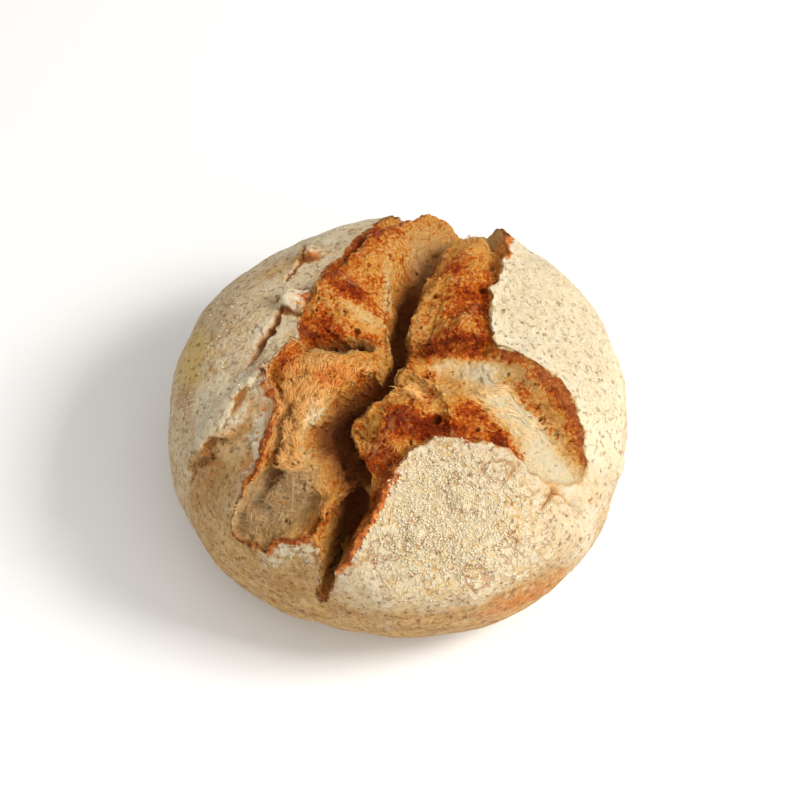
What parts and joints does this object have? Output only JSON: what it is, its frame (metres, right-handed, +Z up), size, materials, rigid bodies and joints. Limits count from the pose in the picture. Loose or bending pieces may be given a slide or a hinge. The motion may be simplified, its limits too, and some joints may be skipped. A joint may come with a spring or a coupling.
{
  "type": "wheat roll",
  "caption": "Round crusty wheat roll, torn open along a cut on top, with floured crust plates, browned crumb and a flat base to rest on.",
  "frame": {"origin": "under the middle of the roll, on the plane that its flat base rests on", "axes": "+Z up out of the crown, +X to the right and -Y to the front as the picture shows the roll"},
  "size_m": [0.1048, 0.104, 0.0576],
  "materials": {
    "baked_crust": "matt baked crust, dusted with flour, with browned torn crumb"
  },
  "bodies": {
    "root": {"wheat_roll": "baked_crust"}
  },
  "joints": []
}
